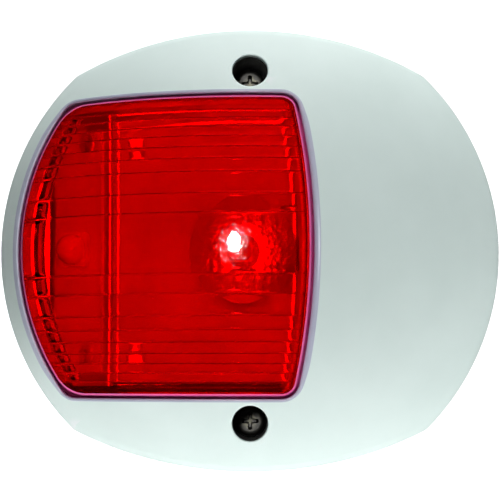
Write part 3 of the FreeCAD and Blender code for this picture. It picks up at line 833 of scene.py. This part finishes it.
def washer(name, y):
    (_, _, low), (_, _, top) = box_mm(name)
    top -= SEAT_GAP
    b = Build()
    outer, inner, soft = WASHER_R, WASHER_HOLE_R, WASHER_ROUND
    section = []
    for cx, ch, start in ((outer - soft, top - soft, 0), (inner + soft, top - soft, pi / 2),
                          (inner + soft, low + soft, pi), (outer - soft, low + soft, 1.5 * pi)):
        for k in range(5):
            a = start + pi / 2 * k / 4
            section.append((cx + soft * cos(a), ch + soft * sin(a)))
    rings = [b.ring(circle(0, y, r), level(h)) for r, h in section]
    b.bands(rings + rings[:1])
    return b.piece(f"{name}_ring", name, "washer_rubber", [WASHER], [name])


def back_gasket():
    b = Build()
    (_, _, low), (_, _, top) = box_mm("back_gasket")
    (gx0, gy0, _), (gx1, gy1, _) = box_mm("wire_grommet")
    holes = [(0, SCREW_Y, GASKET_SCREW_R), (0, -SCREW_Y, GASKET_SCREW_R)]
    holes.append(((gx0 + gx1) / 2, (gy0 + gy1) / 2, GASKET_LEAD_R))
    loops = [lambda t: outline(GASKET_INSET + t)]
    loops += [lambda t, x=x, y=y, r=r: circle(x, y, r + t) for x, y, r in holes]
    faces = ([], [])
    for loop_at in loops:
        rings = b.roll(loop_at, level(top), GASKET_ROUND, None, 4)
        mirror = []
        for k in range(5):
            turn = pi / 2 * k / 4
            t, lift = GASKET_ROUND * (1 - cos(turn)), GASKET_ROUND * (1 - sin(turn))
            mirror.append(b.ring(loop_at(t), level(low + lift)))
        b.bands(mirror)
        b.band(rings[0], mirror[0])
        faces[0].append(rings[-1])
        faces[1].append(mirror[-1])
    b.fill(faces[0], level(top), 2.5)
    b.fill(faces[1], level(low), 2.5)
    return b.piece("gasket_pad", "base", "foam", [FOAM], ["back_gasket"])


def grommet():
    """A grommet with two holes for the leads and soft lips either side of the floor."""
    b = Build()
    (x0, y0, low), (x1, y1, high) = box_mm("wire_grommet")
    x, y = (x0 + x1) / 2, (y0 + y1) / 2
    lip_r, neck_r, lip, soft = (x1 - x0) / 2, GROMMET_NECK_R, GROMMET_LIP, GROMMET_ROUND
    profile = []
    for k in range(6):
        a = pi / 2 * k / 5
        profile.append((lip_r - soft * (1 - sin(a)), low + soft * (1 - cos(a))))
    profile += [(lip_r, low + lip), (neck_r, low + lip), (neck_r, high - lip), (lip_r, high - lip)]
    for k in range(6):
        a = pi / 2 * k / 5
        profile.append((lip_r - soft * (1 - cos(a)), high - soft * (1 - sin(a))))
    rings = [b.ring(circle(x, y, r), level(h)) for r, h in profile]
    b.bands(rings)
    ends = ([rings[0]], [rings[-1]])
    for side in (-1, 1):
        v = y + side * LEAD_SPACING / 2
        mouth_r = LEAD_R + LEAD_FLARE
        steps = ((mouth_r, low), (LEAD_R, low + LEAD_FLARE), (LEAD_R, high - LEAD_FLARE), (mouth_r, high))
        bore = [b.ring(circle(x, v, r, 32), level(h)) for r, h in steps]
        b.bands(bore)
        ends[0].append(bore[0])
        ends[1].append(bore[-1])
    b.fill(ends[0], level(low), 0.7)
    b.fill(ends[1], level(high), 0.7)
    return b.piece("lead_grommet", "base", "grommet_rubber", [RUBBER], ["wire_grommet"])


def ridged_wedge():
    """The wedge under the sloping board, with a round ridge."""
    (foot, low_y, low), (ridge, high_y, high) = box_mm("forward_wedge")
    slope = atan2(high - low, ridge - foot)
    cx = ridge - RIDGE_R
    ch = high - (ridge - cx) * tan(slope) - RIDGE_R / cos(slope) + RIDGE_R * tan(slope)
    b = Build()
    rings = []
    for i in range(49):
        y = low_y + (high_y - low_y) * i / 48
        fore = max(foot, window_span(-WEDGE_IN, WINDOW_CORNER, y)[0])
        section = [(ridge, low), (fore, low), (fore, low + WEDGE_FOOT_H + (fore - foot) * tan(slope))]
        for k in range(9):
            a = pi / 2 + slope - (pi / 2 + slope) * k / 8
            section.append((cx + RIDGE_R * cos(a), ch + RIDGE_R * sin(a)))
        rings.append([b.add(x, y, h) for x, h in section])
    b.bands(rings)
    b.face(*rings[0])
    b.face(*rings[-1])
    return b.piece("ridged_wedge", "base", "aluminium", [RIDGE], ["forward_wedge"], sharp=35)


def hammered_reflector():
    """A shallow plated dish round the abeam emitter, dimpled all over."""
    b = Build()
    (x0, y0, low), (x1, y1, high) = box_mm("abeam_reflector")
    x, y, outer = (x0 + x1) / 2, (y0 + y1) / 2, (x1 - x0) / 2

    def place(i):
        """The radius and the height of the dish's underside at a step outward."""
        share = i / DISH_STEPS
        rise = (high - low - DISH_WALL) * (0.2 * share + 0.8 * share ** 2)
        return DISH_MOUTH_R + (outer - DISH_MOUTH_R) * share, low + rise

    rings = []
    for i in range(DISH_STEPS + 1):
        r, h = place(i)
        ring = []
        for k in range(DISH_SIDES):
            a = 2 * pi * k / DISH_SIDES
            u, v = r * cos(a), r * sin(a)
            near = noise.voronoi(Vector((u * DIMPLES_PER_MM, v * DIMPLES_PER_MM, 3.7)))[0]
            dent = max(0.0, 1 - (near[0] / DIMPLE_R) ** 2) * sin(pi * i / DISH_STEPS) ** 0.5
            ring.append(b.add(x + u, y + v, h + DISH_WALL - DIMPLE_DEPTH * dent))
        rings.append(ring)
    for i in range(DISH_STEPS, -1, -4):
        r, h = place(i)
        rings.append(b.ring(circle(x, y, r, DISH_SIDES), level(h)))
    b.bands(rings + rings[:1])
    return b.piece("hammered_reflector", "base", "reflector", [CHROME], ["abeam_reflector"], sharp=60)


cover_shell()
lens()
back_gasket()
grommet()
ridged_wedge()
hammered_reflector()
for name, y in (("top", SCREW_Y), ("bottom", -SCREW_Y)):
    mounting_screw(f"{name}_screw", y)
    washer(f"{name}_washer", y)


# ---------------------------------------------------------------- studio


def glow(name, color, near, far):
    """A pale stage material that glows like a light table, from one strength in front to another behind."""
    made = bpy.data.materials.new(name)
    made.use_nodes = True
    tree = made.node_tree
    shader = tree.nodes["Principled BSDF"]
    place = tree.nodes.new("ShaderNodeTexCoord").outputs["Object"]
    tone = tuple(c * 0.97 for c in color)
    tree.links.new(
        blend_colors(tree, spread(tree, noise_at(tree, place, 6.0), 0, 1), tone, color),
        shader.inputs["Base Color"],
    )
    tree.links.new(spread(tree, noise_at(tree, place, 14.0), 0.6, 0.8), shader.inputs["Roughness"])
    shader.inputs["Emission Color"].default_value = (*color, 1)
    depth = tree.nodes.new("ShaderNodeSeparateXYZ")
    tree.links.new(place, depth.inputs["Vector"])
    tree.links.new(spread(tree, depth.outputs["Y"], near, far, 0.0, 0.35), shader.inputs["Emission Strength"])
    return made


def stage_sheet(name, corners, made):
    """A flat piece of the studio, which glossy surfaces don't reflect."""
    mesh = bpy.data.meshes.new(name)
    mesh.from_pydata(corners, [], [(0, 1, 2, 3)])
    mesh.materials.append(made)
    piece = bpy.data.objects.new(name, mesh)
    bpy.context.scene.collection.objects.link(piece)
    piece.visible_glossy = False
    return piece


def area_light(name, at, aim, size, radiance, shape="RECTANGLE", diffuse=True, glossy=True):
    """A flat light of a given radiance, aimed at a point, out of the camera's sight.

    diffuse and glossy say which kinds of surface it lights.
    """
    lamp = bpy.data.lights.new(name, "AREA")
    lamp.shape = shape
    lamp.size, lamp.size_y = size
    lamp.energy = radiance * pi * size[0] * size[1]
    held = bpy.data.objects.new(name, lamp)
    held.visible_camera = False
    held.visible_diffuse, held.visible_glossy = diffuse, glossy
    held.location = at
    held.rotation_euler = (Vector(aim) - Vector(at)).to_track_quat("-Z", "Y").to_euler()
    bpy.context.scene.collection.objects.link(held)
    return held


def upright(x, half):
    """The corners of an upright sheet beside the light, across x."""
    near, far = FLAG_Y
    return [(x, near, -half), (x, far, -half), (x, far, half), (x, near, half)]


floor_z = low_corner.z - FLOOR_DROP
half = STAGE_HALF
stage_sheet(
    "floor", [(-half, -half, floor_z), (half, -half, floor_z), (half, half, floor_z), (-half, half, floor_z)],
    glow("pale_floor", STAGE_COLOR, 0.05, 0.95),
)
corners = ((-half, floor_z), (half, floor_z), (half, BACKDROP_TOP), (-half, BACKDROP_TOP))
stage_sheet(
    "backdrop", [(x, BACKDROP_Y, z) for x, z in corners], glow("pale_backdrop", STAGE_COLOR, 1.1, 1.1)
)
# two black cards that shade the light's sides, out of the camera's sight
flag_cloth = finish(
    "flag_cloth", (0.01, 0.01, 0.011), (0.02, 0.02, 0.022), (0.8, 0.95), 900.0, 0.0002, mottle=20.0
)
for name, x, half_height in FLAGS:
    flag = stage_sheet(name, upright(x, half_height), flag_cloth)
    flag.visible_camera = flag.visible_transmission = False
area_light("overhead", (0.05, -0.03, 0.5), (0, -0.02, 0), (0.8, 0.34), 4.3, glossy=False)
under = (-0.01, -0.025)
area_light("under", (*under, floor_z + 0.002), (*under, 1), (0.4, 0.10), 0.70, glossy=False)
area_light(
    "near_camera", (-0.031, -0.296, 0.02), (0, 0, 0), (0.024, 0.041), 200.0, shape="ELLIPSE", diffuse=False
)

world = bpy.data.worlds.new("studio")
world.use_nodes = True
world.node_tree.nodes["Background"].inputs["Color"].default_value = (0.85, 0.95, 1.0, 1)
world.node_tree.nodes["Background"].inputs["Strength"].default_value = 0.14
world.cycles_visibility.glossy = False
bpy.context.scene.world = world

lens_data = bpy.data.cameras.new("camera")
lens_data.lens = CAMERA_LENS
lens_data.clip_start = 0.01
camera = bpy.data.objects.new("camera", lens_data)
camera.location = CAMERA_AT
camera.rotation_euler = (CAMERA_AIM - CAMERA_AT).to_track_quat("-Z", "Y").to_euler()
bpy.context.scene.collection.objects.link(camera)
bpy.context.scene.camera = camera
bpy.context.scene.view_settings.view_transform = "Standard"
